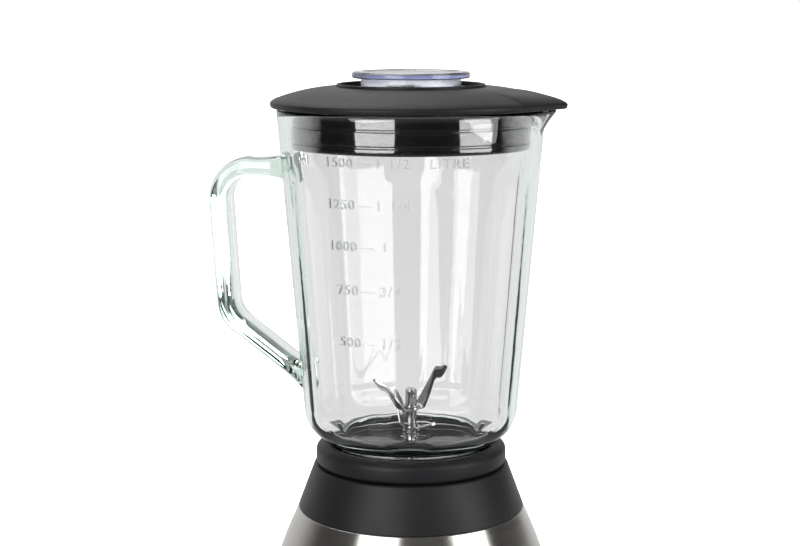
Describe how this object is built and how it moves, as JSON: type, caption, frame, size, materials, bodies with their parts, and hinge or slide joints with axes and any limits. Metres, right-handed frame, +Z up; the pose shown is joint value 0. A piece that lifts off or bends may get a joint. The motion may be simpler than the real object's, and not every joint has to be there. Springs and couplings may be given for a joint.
{
  "type": "countertop blender",
  "caption": "Countertop blender with a fluted glass jug, clear filler cap, black lid and a bell-shaped brushed steel motor base with a speed knob.",
  "frame": {"origin": "on the motor's axis, in the plane of the foot ring's underside", "axes": "+Z up, -Y towards the front with the speed knob, +X towards the spout, -X towards the jug's handle"},
  "size_m": [0.2052, 0.2037, 0.39],
  "materials": {
    "steel_shell": "fine circumferential brushing",
    "top_collar": "fine matt texture",
    "base_ring": "fine matt texture",
    "bottom_plate": "fine matt texture",
    "foot_ring": "soft matt rubber",
    "tie_screws": "zinc plated",
    "cord_gland": "soft matt rubber",
    "terminal_block": "moulded",
    "suppressor_capacitor": "moulded",
    "wiring": "insulated wire",
    "dial_bezel": "polished",
    "switch_body": "moulded",
    "interlock_switch": "moulded",
    "stator_core": "varnished laminations",
    "field_coils": "enamelled copper wire",
    "upper_bracket": "cast",
    "lower_bracket": "cast",
    "motor_bolts": "zinc plated",
    "bearings": "ground",
    "mount_pads": "soft",
    "mount_screws": "zinc plated",
    "brush_holders": "pressed",
    "carbon_brushes": "pressed carbon",
    "brush_springs": "drawn wire",
    "interlock_pin": "moulded",
    "speed_knob": "fine matt texture",
    "knob_trim": "polished",
    "knob_pointer": "printed white",
    "switch_shaft": "turned",
    "motor_shaft": "ground",
    "armature_core": "varnished laminations",
    "armature_windings": "enamelled copper wire",
    "commutator": "turned copper",
    "cooling_fan": "moulded",
    "drive_coupling": "moulded",
    "glass_jug": "clear pressed glass with a green edge",
    "jug_ring": "soft sheen",
    "blade_base": "polished",
    "jug_gasket": "soft silicone",
    "spindle_hub": "turned",
    "hub_nut": "polished",
    "spindle_seal": "soft",
    "blade_spindle": "ground",
    "lower_blade": "polished sheet steel",
    "upper_blade": "polished sheet steel",
    "blade_spacer": "turned",
    "blade_washer": "pressed",
    "dome_nut": "polished",
    "driven_coupling": "moulded",
    "lid_cover": "fine matt texture",
    "lid_seal": "glossy",
    "filler_cap": "clear moulded"
  },
  "bodies": {
    "base": {"steel_shell": "steel_shell", "top_collar": "top_collar", "base_ring": "base_ring", "bottom_plate": "bottom_plate", "foot_ring": "foot_ring", "tie_screws": "tie_screws", "cord_gland": "cord_gland", "terminal_block": "terminal_block", "suppressor_capacitor": "suppressor_capacitor", "wiring": "wiring", "dial_bezel": "dial_bezel", "switch_body": "switch_body", "interlock_switch": "interlock_switch", "stator_core": "stator_core", "field_coils": "field_coils", "upper_bracket": "upper_bracket", "lower_bracket": "lower_bracket", "motor_bolts": "motor_bolts", "bearings": "bearings", "mount_pads": "mount_pads", "mount_screws": "mount_screws", "brush_holders": "brush_holders", "carbon_brushes": "carbon_brushes", "brush_springs": "brush_springs"},
    "interlock": {"interlock_pin": "interlock_pin"},
    "knob": {"speed_knob": "speed_knob", "knob_trim": "knob_trim", "knob_pointer": "knob_pointer", "switch_shaft": "switch_shaft"},
    "rotor": {"motor_shaft": "motor_shaft", "armature_core": "armature_core", "armature_windings": "armature_windings", "commutator": "commutator", "cooling_fan": "cooling_fan", "drive_coupling": "drive_coupling"},
    "jug": {"glass_jug": "glass_jug", "jug_ring": "jug_ring", "blade_base": "blade_base", "jug_gasket": "jug_gasket", "spindle_hub": "spindle_hub", "hub_nut": "hub_nut", "spindle_seal": "spindle_seal"},
    "blades": {"blade_spindle": "blade_spindle", "lower_blade": "lower_blade", "upper_blade": "upper_blade", "blade_spacer": "blade_spacer", "blade_washer": "blade_washer", "dome_nut": "dome_nut", "driven_coupling": "driven_coupling"},
    "lid": {"lid_cover": "lid_cover", "lid_seal": "lid_seal"},
    "cap": {"filler_cap": "filler_cap"}
  },
  "joints": [
    {"name": "jug_lift", "type": "slide", "parent": "base", "child": "jug", "axis": [0, 0, 1], "range_m": [0, 0.12]},
    {"name": "lid_lift", "type": "slide", "parent": "jug", "child": "lid", "axis": [0, 0, 1], "range_m": [0, 0.06]},
    {"name": "cap_lift", "type": "slide", "parent": "lid", "child": "cap", "axis": [0, 0, 1], "range_m": [0, 0.04]},
    {"name": "motor_spin", "type": "hinge", "parent": "base", "child": "rotor", "pos_m": [0, 0, 0.1], "axis": [0, 0, 1], "continuous": true},
    {"name": "blade_spin", "type": "hinge", "parent": "jug", "child": "blades", "pos_m": [0, 0, 0.19], "axis": [0, 0, 1], "continuous": true},
    {"name": "knob_turn", "type": "hinge", "parent": "base", "child": "knob", "pos_m": [0, -0.08688, 0.07], "axis": [0, -0.989, 0.1477], "range_deg": [-90, 45]},
    {"name": "interlock_rise", "type": "slide", "parent": "base", "child": "interlock", "axis": [0, 0, 1], "range_m": [0, 0.003]}
  ],
  "couplings": [
    {"joint": "blade_spin", "follows": "motor_spin", "ratio": 1},
    {"joint": "interlock_rise", "follows": "jug_lift", "ratio": 0.025}
  ]
}
